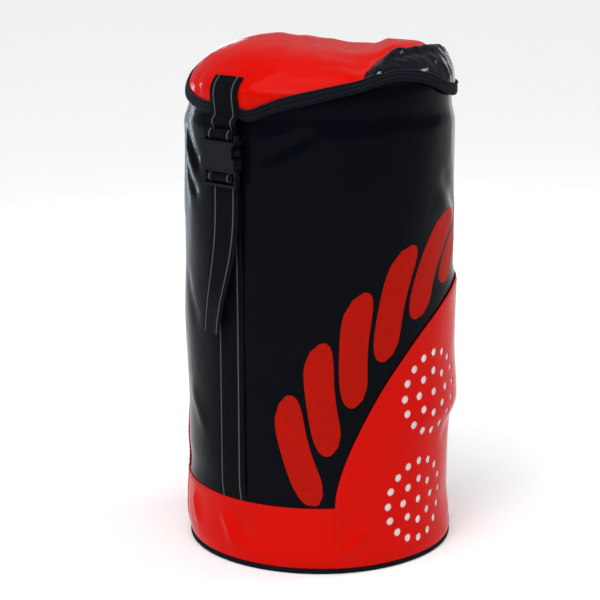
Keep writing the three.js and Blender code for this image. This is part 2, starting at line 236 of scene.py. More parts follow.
def lid_profile(az):
    """Radius and height for each millimetre of cloth from the crown, out and down the skirt."""
    side = 0.5 * (1 - cos(radians(az - LEFT_AZ)))  # 0 at the left flank and 1 at the right
    reach = LID_R + 0.5 * side
    foot = 456 + 9 * side
    rise = CROWN_Z - foot
    power = 2.4 + 1.4 * side
    line = []
    for i in range(61):
        turn = radians(1.5 * i)
        r = reach * sin(turn) ** (2 / power)
        z = foot + rise * cos(turn) ** (2 / power)
        line.append((r, z))
    line.append((reach + 0.5, foot - 20))
    line.append((reach + 1.0, foot - 60))
    r, z = np.array(line).T
    rho = np.concatenate([[0], np.cumsum(np.hypot(np.diff(r), np.diff(z)))])
    steps = np.arange(0, 240.0)
    return np.interp(steps, rho, r), np.interp(steps, rho, z)


# how the crown rises and sinks, as (distance towards the right flank, height)
LID_TILT = ((-120, 4), (-75, 4), (-45, 2.5), (-18, -3.5), (8, -7.5), (34, -11), (56, -10), (72, -3), (110, 0))

LID_STEP = 5
LID_TABLE = [lid_profile(LID_STEP * k) for k in range(360 // LID_STEP + 1)]


def lid_point(az, rho):
    """Plain radius and height on the lid, before its folds."""
    place = (az % 360) / LID_STEP
    k = int(place)
    f = place - k
    rho = min(max(rho, 0), 238.9)
    j = int(rho)
    g = rho - j
    value = []
    for axis in (0, 1):
        a, b = LID_TABLE[k][axis], LID_TABLE[k + 1][axis]
        value.append((1 - f) * (a[j] * (1 - g) + a[j + 1] * g) + f * (b[j] * (1 - g) + b[j + 1] * g))
    return value


def hem_rho(az):
    """Length along the cloth from the crown to the hem."""
    rho = 150.0
    for _ in range(12):
        rho += lid_point(az, rho)[1] - hem_height(az)
        rho = min(max(rho, 60), 235)
    return rho


# each gusset's seam, seen from above, as (distance to the side, distance to the back)
GUSSET_PLANS = {
    -1: ((117, -70), (118, -44), (114, -4), (108, 25), (102, 51), (95, 76), (85, 98), (74, 118)),
    1: ((112, -68), (104, -50), (95, -30), (90, -12), (90, 6), (93, 22), (92, 42), (88, 60), (81, 80),
        (73, 98), (64, 118)),
}
GUSSET_ENDS = (57.0, 155.0)  # azimuths where the seams meet the hem


def gusset_edge(side):
    """The seam of a gusset in the lid's flat map, from the front hem over the shoulder to the rear hem."""
    plan = smooth_path([Vector((x, y, 0)) for x, y in GUSSET_PLANS[side]], 4.0)
    line = []
    for point in plan:
        az, reach = degrees(atan2(point.x, -point.y)), hypot(point.x, point.y)
        rho = 60.0
        while rho < 220 and lid_point(side * az, rho)[0] < reach:
            rho += 0.5
        line.append(polar(side * az, min(rho, hem_rho(side * az) - 0.5)))
    ends = [polar(side * az, hem_rho(side * az)) for az in GUSSET_ENDS]
    return [ends[0], *line, ends[1]]


def seam_distance(u, v):
    """How far a place on the lid is from the nearer gusset seam, more than nothing on the gusset's side."""
    seam = GUSSET_SEAMS[u > 0]
    gaps = np.hypot(seam[:, 0] - u, seam[:, 1] - v)
    k = int(gaps.argmin())
    a, b = seam[max(k - 1, 0)], seam[min(k + 1, len(seam) - 1)]
    cross = (b[0] - a[0]) * (v - a[1]) - (b[1] - a[1]) * (u - a[0])
    return float(gaps[k]) * (1 if (cross < 0) == (u > 0) else -1)


def on_lid(u, v, depth):
    """From the lid's flat map to the cloth, or depth below it."""
    az = degrees(atan2(u, -v))
    rho = hypot(u, v)
    r0, z0 = lid_point(az, rho - 1)
    r1, z1 = lid_point(az, rho + 1)
    length = hypot(r1 - r0, z1 - z0) or 1.0
    nr, nz = (z0 - z1) / length, (r1 - r0) / length
    r, z = (r0 + r1) / 2, (z0 + z1) / 2
    x, y = polar(az, r)
    tilt = r * cos(radians(az - RIGHT_AZ))
    z += along(LID_TILT, tilt) * (1 - smooth((r - 100) / 36))
    calm = 1 - facing(az, 180, 20) * smooth((r - 110) / 25)  # flat where the hinge is sewn
    puff = 1.3 * rumple(x, y, z, 70) + 0.5 * rumple(x, y + 300, z, 26) + folds(u, v, LID_FOLDS)
    puff += 8.0 * hill(wrap(az), 4, 34) * hill(z0, 480, 15)  # the front stands out above the strap
    off = seam_distance(u, v)
    free = smooth((hem_rho(az) - rho) / 34)  # the binding holds the cloth at the hem
    puff *= 0.35 + 0.65 * free
    puff += free * (5.0 * hill(off, 8, 7) - 3.0 * hill(off, -7, 9))
    if off > 0:
        puff += smooth(off / 8) * free * 1.8 * rumple(x * 2.6, y * 2.6, z * 0.6, 26)  # the gussets crease
    return radial(az, r + nr * (puff * calm - depth), z + nz * (puff * calm - depth))


# ---- meshes ----


def new_object(name, points, faces, uvs=None, sharp=40):
    mesh = bpy.data.meshes.new(name)
    mesh.from_pydata([p * MM for p in points], [], faces)
    if uvs:
        layer = mesh.uv_layers.new(name="cloth")
        for loop in mesh.loops:
            layer.data[loop.index].uv = uvs[loop.vertex_index]
    mesh.validate()
    mesh.shade_smooth()
    mesh.set_sharp_from_angle(angle=radians(sharp))
    piece = bpy.data.objects.new(name, mesh)
    bpy.context.collection.objects.link(piece)
    return piece


def face_outward(piece):
    rebuilt = bmesh.new()
    rebuilt.from_mesh(piece.data)
    bmesh.ops.recalc_face_normals(rebuilt, faces=rebuilt.faces)
    rebuilt.to_mesh(piece.data)
    rebuilt.free()
    return piece


def quads(rows, size, closed=False):
    """Faces between rings of points, row after row; closed joins the last row to the first."""
    faces = []
    for i in range(rows if closed else rows - 1):
        here, there = i * size, (i + 1) % rows * size
        for k in range(size):
            after = (k + 1) % size
            faces.append((here + k, here + after, there + after, there + k))
    return faces


def finish(piece, look, *nodes, body="bag_body"):
    """Gives a piece its material and its body, and hides the nodes that it stands for."""
    material, slot = look
    piece.data.materials.clear()
    piece.data.materials.append(material)
    if body:
        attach(piece, body)
    if nodes:
        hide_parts(*nodes)


def evenly(points, step, closed=False):
    """Points along a line at about the given step, corners kept."""
    out = []
    ends = points[1:] + points[:1] if closed else points[1:]
    for a, b in zip(points, ends):
        count = max(1, round(dist(a, b) / step))
        out += [tuple(p + (q - p) * i / count for p, q in zip(a, b)) for i in range(count)]
    return out if closed else out + [tuple(points[-1])]


def inside_loop(points, loop):
    """Which of the points lie inside a closed loop."""
    x, y = points[:, 0], points[:, 1]
    hit = np.zeros(len(points), bool)
    for (x0, y0), (x1, y1) in zip(loop, np.roll(loop, -1, axis=0)):
        if y0 != y1:
            cross = (y0 > y) != (y1 > y)
            hit ^= cross & (x < (x1 - x0) * (y - y0) / (y1 - y0) + x0)
    return hit


def circle(centre, radius, count=20):
    turns = [2 * pi * i / count for i in range(count)]
    return [(centre[0] + radius * cos(t), centre[1] + radius * sin(t)) for t in turns]


def sheet(name, outline, place, thick=SKIN, lift=0.0, holes=(), step=4.0):
    """A cut panel of cloth: a flat outline with holes, laid on a surface and given its thickness."""
    loops = [evenly(outline, step, closed=True)] + [circle((u, v), r) for u, v, r in holes]
    edge = np.array([p for loop in loops for p in loop])
    low, high = edge.min(0), edge.max(0)
    rows = np.arange(low[1] + step / 2, high[1], step * 0.87)
    grid = [(x + (i % 2) * step / 2, y) for i, y in enumerate(rows) for x in np.arange(low[0], high[0], step)]
    grid = np.array(grid) if grid else np.zeros((0, 2))
    grid = grid[inside_loop(grid, np.array(loops[0]))]
    if len(grid):
        gap = np.array([((edge - p) ** 2).sum(1).min() for p in grid])
        grid = grid[gap > (0.5 * step) ** 2]
        for u, v, r in holes:
            grid = grid[np.hypot(grid[:, 0] - u, grid[:, 1] - v) > r]
    points = [Vector(p) for p in edge] + [Vector(p) for p in grid]
    rim, start = [], 0
    for loop in loops:
        size = len(loop)
        rim += [(start + i, start + (i + 1) % size) for i in range(size)]
        start += size
    made = delaunay_2d_cdt(points, rim, [], 0, 1e-4)
    flat = np.array([tuple(p) for p in made[0]])
    tris = np.array([f for f in made[2] if len(f) == 3])
    middle = flat[tris].mean(1)
    keep = inside_loop(middle, np.array(loops[0]))
    for u, v, r in holes:
        keep &= np.hypot(middle[:, 0] - u, middle[:, 1] - v) > r * 0.95
    tris = tris[keep]
    count = len(flat)
    outside = [place(u, v, -lift) for u, v in flat]
    inside = [place(u, v, thick - lift) for u, v in flat]
    faces = [tuple(int(i) for i in f) for f in tris]
    once = set()  # edges that belong to one face, which get a wall
    for a, b, c in faces:
        for pair in ((a, b), (b, c), (c, a)):
            if pair[::-1] in once:
                once.remove(pair[::-1])
            else:
                once.add(pair)
    faces += [tuple(i + count for i in reversed(f)) for f in faces]
    faces += [(b, a, a + count, b + count) for a, b in sorted(once)]
    uvs = [(u * MM, v * MM) for u, v in flat]
    return new_object(name, outside + inside, faces, uvs + uvs)


def smooth_path(points, step=3.0):
    """A smooth line through the points, with points at an even step."""
    line = []
    for i in range(len(points) - 1):
        p0, p1 = points[max(i - 1, 0)], points[i]
        p2, p3 = points[i + 1], points[min(i + 2, len(points) - 1)]
        for k in range(12):
            t = k / 12
            a = -0.5 * t + t**2 - 0.5 * t**3
            b = 1 - 2.5 * t**2 + 1.5 * t**3
            c = 0.5 * t + 2 * t**2 - 1.5 * t**3
            d = -0.5 * t**2 + 0.5 * t**3
            line.append(p0 * a + p1 * b + p2 * c + p3 * d)
    line.append(points[-1].copy())
    total = [0.0]
    for a, b in zip(line, line[1:]):
        total.append(total[-1] + (b - a).length)
    count = max(2, round(total[-1] / step))
    out = []
    for i in range(count + 1):
        want = total[-1] * i / count
        k = max(1, next((j for j, s in enumerate(total) if s >= want), len(total) - 1))
        f = (want - total[k - 1]) / max(total[k] - total[k - 1], 1e-9)
        out.append(line[k - 1].lerp(line[k], f))
    return out


GUSSET_SEAMS = {side > 0: np.array(gusset_edge(side)) for side in (-1, 1)}


def ribbon(name, path, across, width, thick=TAPE, cuts=8, slant=0.0, lay=None, step=3.0, size=None):
    """Webbing along a path. lay(point, offset) may move its points on to what it lies on, and size(share of
    the length) may change its width and thickness. With no across, the path lies in a plane that faces +Y."""
    path = smooth_path(path, step)
    points, uvs = [], []
    length = 0.0
    edge = [(-0.5 + i / cuts, 1) for i in range(cuts + 1)] + [(0.5 - i / cuts, -1) for i in range(cuts + 1)]
    ring = len(edge)
    for i, here in enumerate(path):
        before, after = path[max(i - 1, 0)], path[min(i + 1, len(path) - 1)]
        tangent = (after - before).normalized()
        sideways = across.normalized() if across else Vector((0, 1, 0)).cross(tangent).normalized()
        normal = sideways.cross(tangent).normalized()
        if size:
            width, thick = size(i / (len(path) - 1))
        if i:
            length += (here - path[i - 1]).length
        for s, face in edge:
            thin = 0.45 if abs(s) > 0.49 else 1.0
            point = here + sideways * (s * width) + normal * (face * thin * thick / 2)
            if slant:
                point += tangent * (slant * s * smooth(i / (len(path) - 1) * 3 - 2))
            if lay:
                point = lay(point, s * width)
            points.append(point)
            uvs.append((s * width * MM, length * MM))
    faces = quads(len(path), ring)
    last = (len(path) - 1) * ring
    for base in (0, last):
        for k in range(cuts):
            quad = (base + k, base + k + 1, base + ring - 2 - k, base + ring - 1 - k)
            faces.append(quad if base else quad[::-1])
    return face_outward(new_object(name, points, faces, uvs, sharp=50))


def hoop(name, section, count=180):
    """A closed section carried round the bag: section(az) gives its points."""
    rings = [section(360 * i / count) for i in range(count)]
    size = len(rings[0])
    points = [p for ring in rings for p in ring]
    faces = [(a, d, c, b) for a, b, c, d in quads(count, size, closed=True)]
    uvs = [(k * 2 * MM, i * 360 / count * ARC * MM) for i in range(count) for k in range(size)]
    return face_outward(new_object(name, points, faces, uvs, sharp=60))


def upright(x, line):
    """Points in the plane at x, from (y, z)."""
    return [Vector((x, y, z)) for y, z in line]


STITCH_PITCH, STITCH, THREAD_R = 4, 3, 0.38


def stitch(name, lines, place, look, lift=0.0, body="bag_body"):
    """Sewing thread: a row of short stitches that dip in and out, along each flat line."""
    points, faces = [], []
    for line in lines:
        flat = evenly(line, 1.0)
        for start in range(0, len(flat) - STITCH - 1, STITCH_PITCH):
            a, b = flat[start], flat[start + STITCH]
            middle = ((a[0] + b[0]) / 2, (a[1] + b[1]) / 2)
            ends = [place(*a, 0.5 - lift), place(*middle, -THREAD_R * 1.3 - lift), place(*b, 0.5 - lift)]
            run = (ends[2] - ends[0]).normalized()
            up = place(*middle, -1 - lift) - place(*middle, -lift)
            side = run.cross(up).normalized()
            base = len(points)
            for point, size in zip(ends, (0.5, 1.0, 0.5)):
                for turn in range(6):
                    t = pi * turn / 3
                    out = side * cos(t) + up.normalized() * sin(t)
                    points.append(point + out * THREAD_R * size)
            faces += [tuple(base + k for k in face) for face in quads(3, 6)]
            faces.append(tuple(base + turn for turn in reversed(range(6))))
            faces.append(tuple(base + 12 + turn for turn in range(6)))
    finish(new_object(name, points, faces), look, body=body)


# ---- materials ----


def shade(colour, share):
    return tuple(share * c for c in colour[:3]) + (1.0,)


class Look:
    """A procedural material: each call adds a node and links what it is given."""

    def __init__(self, name):
        self.material = bpy.data.materials.new(name)
        self.material.use_nodes = True
        self.tree = self.material.node_tree
        self.shader = self.tree.nodes["Principled BSDF"]

    def add(self, kind, inputs=None, **settings):
        node = self.tree.nodes.new("ShaderNode" + kind)
        for key, value in settings.items():
            setattr(node, key, value)
        for key, value in (inputs or {}).items():
            self.feed(node.inputs[key], value)
        return node

    def feed(self, socket, value):
        if isinstance(value, bpy.types.NodeSocket):
            self.tree.links.new(value, socket)
        else:
            socket.default_value = value

    def math(self, operation, a, b=0.0):
        return self.add("Math", {0: a, 1: b}, operation=operation).outputs[0]

    def noise(self, where, scale, detail=3.0, rough=0.5):
        inputs = {"Vector": where, "Scale": scale, "Detail": detail, "Roughness": rough}
        return self.add("TexNoise", inputs).outputs["Fac"]

    def range(self, value, low, high, to_low, to_high):
        inputs = {"Value": value, "From Min": low, "From Max": high, "To Min": to_low, "To Max": to_high}
        return self.add("MapRange", inputs).outputs[0]

    def mix(self, factor, a, b):
        node = self.add("Mix", data_type="RGBA")
        for socket, value in zip((node.inputs[0], node.inputs[6], node.inputs[7]), (factor, a, b)):
            self.feed(socket, value)
        return node.outputs[2]

    def bump(self, height, strength, distance, under=None):
        inputs = {"Height": height, "Strength": strength, "Distance": distance}
        if under is not None:
            inputs["Normal"] = under
        return self.add("Bump", inputs).outputs[0]

    def cloth(self):
        """Across and along the cloth, in millimetres."""
        uv = self.add("UVMap", uv_map="cloth").outputs[0]
        parts = self.add("SeparateXYZ", {0: uv})
        return [self.math("MULTIPLY", parts.outputs[i], 1000.0) for i in (0, 1)]

    def wave(self, value, period):
        return self.math("SINE", self.math("MULTIPLY", value, 2 * pi / period))

    def scrim(self):
        return self.math("ADD", *[self.wave(way, SCRIM) for way in self.cloth()])

    def object_place(self):
        return self.add("TexCoord").outputs["Object"]

    def set(self, **sockets):
        for key, value in sockets.items():
            self.feed(self.shader.inputs[key.replace("_", " ")], value)

    def skin(self, base, rough, normal, specular):
        self.set(Base_Color=base, Roughness=rough, Normal=normal, Specular_IOR_Level=specular)
        return self.material


SCRIM = 1.15  # period of the woven scrim inside the coated cloth
PICK = 1.7  # period of the webbing's weft
YARN_AT, YARN_HALF = 11.9, 0.75  # the reflective yarns, from the middle of the webbing


def tarpaulin(name, colour, worn, gloss, specular):
    """Coated cloth: a faint scrim under a glossy skin, with soft dents, scuffs and dull patches."""
    look = Look(name)
    place = look.object_place()
    tone = look.noise(place, 9.0, 3.0)
    scuff = look.range(look.noise(place, 60.0, 6.0, 0.7), 0.62, 0.78, 0.0, 1.0)
    base = look.mix(look.range(tone, 0.3, 0.7, 0.0, 0.5), colour, worn)
    base = look.mix(look.math("MULTIPLY", scuff, 0.35), base, worn)
    rough = look.range(look.noise(place, 22.0, 4.0), 0.3, 0.7, gloss, gloss + 0.1)
    rough = look.math("ADD", rough, look.math("MULTIPLY", scuff, 0.12))
    soft = look.bump(look.noise(place, 34.0, 2.0), 0.16, 0.004)
    fine = look.bump(look.noise(place, 300.0, 2.0), 0.05, 0.0006, soft)
    normal = look.bump(look.scrim(), 0.07, 0.00012, fine)
    return look.skin(base, rough, normal, specular)


def webbing(name, colour, stripe=None, rib=1.25):
    """Woven nylon: warp ribs along the strap, weft picks across it, and reflective yarns if it has them."""
    look = Look(name)
    across, up = look.cloth()
    place = look.object_place()
    ribs = look.wave(across, rib)
    picks = look.wave(look.math("ADD", up, look.math("MULTIPLY", ribs, 0.35)), PICK)
    weave = look.math("MULTIPLY", look.math("ADD", ribs, 1.4), look.math("ADD", picks, 1.8))
    fuzz = look.noise(place, 500.0, 3.0)
    # The colour follows the weave's height: a painted highlight on the raised yarns and painted shade in the
    # grooves between them.
    tone = look.range(look.math("ADD", weave, fuzz), 0.4, 6.5, 0.45, 1.25)
    light = tuple(min(1.0, c * 1.7 + 0.003) for c in colour[:3]) + (1.0,)
    base = look.mix(look.range(tone, 0.45, 1.25, 0.0, 1.0), shade(colour, 0.5), light)
    rough = look.range(fuzz, 0.3, 0.7, 0.68, 0.88)
    if stripe:
        near = look.math("ABSOLUTE", look.math("SUBTRACT", look.math("ABSOLUTE", across), YARN_AT))
        on = look.math("LESS_THAN", near, YARN_HALF)
        # The reflective yarns are painted darker where the weft picks dip, a painted shade.
        stripe_with_painted_shade = look.mix(look.range(look.wave(up, PICK), -1.0, 1.0, 0.0, 1.0), stripe, shade(stripe, 0.6))
        base = look.mix(on, base, stripe_with_painted_shade)
        rough = look.math("SUBTRACT", rough, look.math("MULTIPLY", on, 0.3))
    normal = look.bump(weave, 0.55, 0.0003, look.bump(fuzz, 0.2, 0.0003))
    return look.skin(base, rough, normal, 0.06)


def plastic(name, colour, rough):
    """Moulded acetal: a fine grain, with smoother patches where hands rub it."""
    look = Look(name)
    place = look.object_place()
    grain = look.noise(place, 1400.0, 2.0)
    rub = look.noise(place, 55.0, 3.0)
    base = look.mix(look.range(rub, 0.35, 0.7, 0.0, 0.6), colour, shade(colour, 1.5))
    gloss = look.range(rub, 0.3, 0.7, rough, rough + 0.14)
    normal = look.bump(grain, 0.12, 0.0002)
    return look.skin(base, gloss, normal, 0.14)


def netting(name, strand, gap, pitch):
    """Knitted mesh: raised strands round small cells."""
    look = Look(name)
    place = look.object_place()
    inputs = {"Vector": place, "Scale": 1000.0 / pitch, "Randomness": 0.35}
    cells = look.add("TexVoronoi", inputs, feature="DISTANCE_TO_EDGE")
    edge = look.range(cells.outputs["Distance"], 0.03, 0.22, 1.0, 0.0)
    yarn = look.noise(place, 900.0, 2.0)
    # The cells are painted in the darker gap colour, a painted shade in the recesses between the raised
    # strands.
    base = look.mix(look.math("MULTIPLY", edge, look.range(yarn, 0.2, 0.7, 0.8, 1.0)), gap, strand)
    normal = look.bump(edge, 0.6, 0.0006, look.bump(yarn, 0.25, 0.0002))
    rough = look.range(yarn, 0.3, 0.7, 0.77, 0.9)
    look.set(Sheen_Weight=0.2)
    return look.skin(base, rough, normal, 0.25)


def thread(name, colour):
    """Sewing thread: fine specks of light and dark twist."""
    look = Look(name)
    twist = look.noise(look.object_place(), 1500.0, 2.0)
    rough = look.range(twist, 0.3, 0.7, 0.5, 0.7)
    normal = look.bump(twist, 0.3, 0.0003)
    look.set(Base_Color=look.mix(twist, colour, shade(colour, 0.6)), Roughness=rough, Normal=normal)
    return look.material


def print_ink(name, colour):
    """Screen-printed ink on the glossy cloth: even, duller, a little thin in places."""
    look = Look(name)
    place = look.object_place()
    thin = look.noise(place, 120.0, 5.0, 0.65)
    base = look.mix(look.range(thin, 0.35, 0.75, 0.0, 0.5), colour, shade(colour, 0.72))
    rough = look.range(thin, 0.3, 0.7, 0.42, 0.52)
    normal = look.bump(look.scrim(), 0.08, 0.00012, look.bump(look.noise(place, 34.0, 2.0), 0.16, 0.004))
    return look.skin(base, rough, normal, 0.035)


# a look is a material and the slot that it belongs to
BLACK_SKIN = ((0.0013, 0.002, 0.0038, 1), (0.0022, 0.003, 0.0055, 1), 0.12, 0.036)
GUSSET_SKIN = ((0.0015, 0.0024, 0.0048, 1), (0.003, 0.004, 0.007, 1), 0.08, 0.15)
RED_SKIN = ((0.60, 0.0035, 0.0008, 1), (0.56, 0.0045, 0.0012, 1), 0.14, 0.04)
YARN = (0.10, 0.115, 0.135, 1)
BLACK = tarpaulin("black tarpaulin", *BLACK_SKIN), "black_tarpaulin"
GUSSET_BLACK = tarpaulin("gusset tarpaulin", *GUSSET_SKIN), "black_tarpaulin"
RED = tarpaulin("red tarpaulin", *RED_SKIN), "red_tarpaulin"
TAPE_LOOK = webbing("binding tape", (0.0045, 0.0058, 0.0105, 1), rib=0.9), "binding_tape"
STRAP_LOOK = webbing("webbing with reflective yarns", (0.0014, 0.002, 0.0032, 1), YARN), "webbing"
PLAIN_STRAP = webbing("plain webbing", (0.003, 0.0036, 0.0055, 1)), "webbing"
PLASTIC = plastic("buckle plastic", (0.0022, 0.003, 0.0048, 1), 0.30), "buckle_plastic"
# the second colour given to each mesh is the painted shade in its cells
NET = netting("drain mesh", (0.93, 0.94, 0.93, 1), (0.80, 0.81, 0.80, 1), 1.3), "drain_mesh"
PAD_LOOK = netting("pad fabric", (0.016, 0.017, 0.021, 1), (0.003, 0.003, 0.004, 1), 2.4), "pad_fabric"
THREAD_DARK = thread("dark thread", (0.02, 0.021, 0.026, 1)), "binding_tape"
THREAD_RED = thread("red thread", (0.42, 0.012, 0.008, 1)), "red_tarpaulin"
INK = print_ink("printed ink", (0.42, 0.0068, 0.0022, 1)), "red_tarpaulin"


# ---- body panels ----


def panel_edge(t):
    """The swept upper edge of a side panel on the body's flat map, for t from 0 to 1."""
    marks = ((PANEL_FRONT_AZ, 72), (PANEL_FRONT_AZ, 128), (82, PANEL_TOP), (130, PANEL_TOP))
    share = ((1 - t) ** 3, 3 * t * (1 - t) ** 2, 3 * t * t * (1 - t), t**3)
    az, z = (sum(s * m[k] for s, m in zip(share, marks)) for k in (0, 1))
    return az * ARC, z


def panel_sweep(inset=0.0):
    """The swept upper edge of a side panel, moved into the panel by inset."""
    line = []
    for i in range(33):
        (u0, v0), (u1, v1) = panel_edge(max(i - 0.5, 0) / 32), panel_edge(min(i + 0.5, 32) / 32)
        u, v = panel_edge(i / 32)
        length = hypot(u1 - u0, v1 - v0)
        line.append((u + inset * (v1 - v0) / length, v - inset * (u1 - u0) / length))
    return line


def flip(points, side):
    return [(side * u, v) for u, v in points][:: 1 if side > 0 else -1]


def rim_line(start, end):
    return [(az * ARC, rim_height(az)) for az in spread(start, end, 40)]


def shell_outline(side):
    """Half of the black tube, with a margin that runs on under the red panels."""
    sweep = panel_sweep(9)
    back = PANEL_BACK_AZ * ARC
    half = 180 * ARC
    top = rim_line(side * 180, 0)
    low = BAND_TOP - 8
    under = [(0, low), (sweep[0][0], low), *sweep, (back - 9, PANEL_TOP - 9), (back - 9, low), (half, low)]
    if side > 0:
        return under + top
    return flip(under, -1) + top[::-1]


def holes_of(side):
    return [(side * u, v, HOLE_R) for az, z in ROSETTES.values() for radius, count in RINGS
            for u, v in circle((az * ARC, z), radius, count)]


def panel_outline(side):
    front, back = PANEL_FRONT_AZ * ARC, PANEL_BACK_AZ * ARC
    return flip([(front, SEAM_Z), (back, SEAM_Z), (back, PANEL_TOP), *panel_sweep()[::-1]], side)


PANEL_LIFT, BAND_LIFT = 1.9, 1.0  # how far the red panels lie above the tube
NET_R = 46.5
SEWN_IN = 2.6  # stitching, from the edge that it holds


def make_body():
    front, back = PANEL_FRONT_AZ * ARC, PANEL_BACK_AZ * ARC
    for label, side in (("left", -1), ("right", 1)):
        shell = sheet(f"shell_{label}", shell_outline(side), on_body, step=4.5)
        finish(shell, BLACK, f"body_shell_{label}")
        outline = panel_outline(side)
        panel = sheet(f"red_side_{label}", outline, on_body, lift=PANEL_LIFT, holes=holes_of(side))
        finish(panel, RED, f"side_panel_{label}")
        for level, (az, z) in ROSETTES.items():
            outline = circle((side * az * ARC, z), NET_R, 48)
            disc = sheet(f"drain_net_{level}_{label}", outline, on_body, 0.5, 0.8, step=5)
            finish(disc, NET, f"drain_mesh_{level}_{label}")
        start, end = side * (front + SEWN_IN), side * (back - SEWN_IN)
        rows = [flip(panel_sweep(SEWN_IN), side), [(start, 9), (start, 76)], [(end, 9), (end, PANEL_TOP - 3)]]
        stitch(f"panel_stitching_{label}", rows, on_body, THREAD_RED, PANEL_LIFT)
    bands = {"front": (-front - 7, front + 7), "rear": (back - 7, 360 * ARC - back + 7)}
    for label, (u0, u1) in bands.items():
        outline = [(u0, SEAM_Z), (u1, SEAM_Z), (u1, BAND_TOP), (u0, BAND_TOP)]
        band = sheet(f"red_band_{label}", outline, on_body, lift=BAND_LIFT, step=4.5)
        finish(band, RED, f"base_band_{label}")
        line = [(u0 + 9, BAND_TOP - SEWN_IN), (u1 - 9, BAND_TOP - SEWN_IN)]
        stitch(f"band_stitching_{label}", [line], on_body, THREAD_RED, BAND_LIFT)


def make_base_and_rim():
    def piping(az):
        middle = (body_radius(az, PIPING_R) + 0.3, PIPING_R + 0.05)
        return [radial(az, r, z) for r, z in circle(middle, PIPING_R, 12)]

    ring = hoop("base_seam_piping", piping, 240)
    finish(ring, TAPE_LOOK, "base_piping")

    def rim(az):
        top = rim_height(az)
        flat = [(top - 6, -0.1), (top - 6, -0.9), (top + 0.2, -0.9), (top + 1.2, 0.4), (top + 0.2, 1.9),
                (top - 18, 1.9), (top - 18, 1.1), (top - 0.4, 1.0), (top, 0.4), (top - 0.4, -0.1)]
        return [on_body(az * ARC, z, depth) for z, depth in flat]

    tape = hoop("rim_tape", rim)
    finish(tape, TAPE_LOOK, "rim_binding")
    line = [(az * ARC, rim_height(az) - 4.5) for az in range(-180, 181, 3)]
    stitch("rim_stitching", [line], on_body, THREAD_DARK)


def rope_twist():
    """A generic printed band of twisted rope that follows the right panel's edge on the black."""
    run = evenly(panel_sweep(-13) + [(324, PANEL_TOP + 13), (344, PANEL_TOP + 13)], 1.0)
    reach = [0.0]
    for a, b in zip(run, run[1:]):
        reach.append(reach[-1] + dist(a, b))

    def lay(s, h):
        """s along the band, h away from the panel's edge."""
        s = min(max(s, 0), reach[-1] - 1)
        k = min(int(np.searchsorted(reach, s, "right")) - 1, len(run) - 2)
        f = (s - reach[k]) / max(reach[k + 1] - reach[k], 1e-9)
        (u0, v0), (u1, v1) = run[max(k - 12, 0)], run[min(k + 13, len(run) - 1)]
        length = hypot(u1 - u0, v1 - v0)
        u = run[k][0] + (run[k + 1][0] - run[k][0]) * f
        v = run[k][1] + (run[k + 1][1] - run[k][1]) * f
        return (u - h * (v1 - v0) / length, v + h * (u1 - u0) / length)

    wide, pitch, fat, lean = 72.0, 53.0, 22.5, 24.0  # the band's width, then each strand's
    s, number = 44.0, 1
    while s < reach[-1] - 50:
        outline = []
        for edge in (-1, 1):
            row = []
            for t in spread(0, 1, 24):
                bend = lean * sin(pi * (t - 0.5)) + lean * 0.35 * (2 * t - 1)
                half = fat * (1 - abs(2 * t - 1) ** 3.2) ** 0.5
                row.append(lay(s + bend + edge * half, wide * t))
            outline += row if edge < 0 else row[::-1]
        clean = [p for p, q in zip(outline, outline[1:] + outline[:1]) if dist(p, q) > 0.3]
        area = sum(a[0] * b[1] - b[0] * a[1] for a, b in zip(clean, clean[1:] + clean[:1]))
        strand = clean if area > 0 else clean[::-1]
        finish(sheet(f"rope_motif_{number}", strand, on_body, 0.25, 0.22, step=3.0), INK)
        s += pitch
        number += 1


# ---- lid ----


def hem_line(start, end, rise=0.0, count=90):
    """The hem on the lid's flat map, or a line that runs a little above it."""
    return [polar(az, hem_rho(az) - rise) for az in spread(start, end, count)]


def make_lid():
    right, left = gusset_edge(1), gusset_edge(-1)
    top = hem_line(-61.5, 61.5) + right + hem_line(157, 203) + left[::-1]
    lid = sheet("lid_red", top, on_lid, lift=SKIN, step=4.5)
    finish(lid, RED, "lid_top", body="lid")
    for label, side, edge in (("left", -1, left), ("right", 1, right)):
        inner = [(u - side * 7, v) for u, v in edge]
        hem = hem_line(side * 160, side * 58)
        outline = inner + hem if side > 0 else (inner + hem)[::-1]
        gusset = sheet(f"lid_gusset_cloth_{label}", outline, on_lid, step=3.5)
        finish(gusset, GUSSET_BLACK, f"lid_gusset_{label}", body="lid")
        row = [(u - side * 2.4, v) for u, v in edge[3:-3]]
        stitch(f"gusset_stitching_{label}", [row], on_lid, THREAD_RED, SKIN, body="lid")

    def binding(az):
        rho = hem_rho(az)
        wobble = 0.7 * sin(radians(11 * az)) * sin(radians(3 * az + 20))
        flat = [(-BINDING, -1.0), (-BINDING, -2.2), (-1.5, -2.3 + wobble * 0.3), (0.8, -1.7), (1.7, 0.2),
                (0.8, 2.0), (-1.5, 2.6), (-10, 2.6), (-10, 1.2), (-0.8, 1.1), (0, 0.2), (-0.8, -1.0)]
        return [on_lid(*polar(az, rho + step + wobble), depth) for step, depth in flat]

    tape = hoop("hem_tape", binding, 200)
    finish(tape, TAPE_LOOK, "lid_binding", body="lid")
    row = hem_line(-179, 180, BINDING - 0.3, 240)
    stitch("hem_stitching", [row], on_lid, THREAD_DARK, 2.2, body="lid")


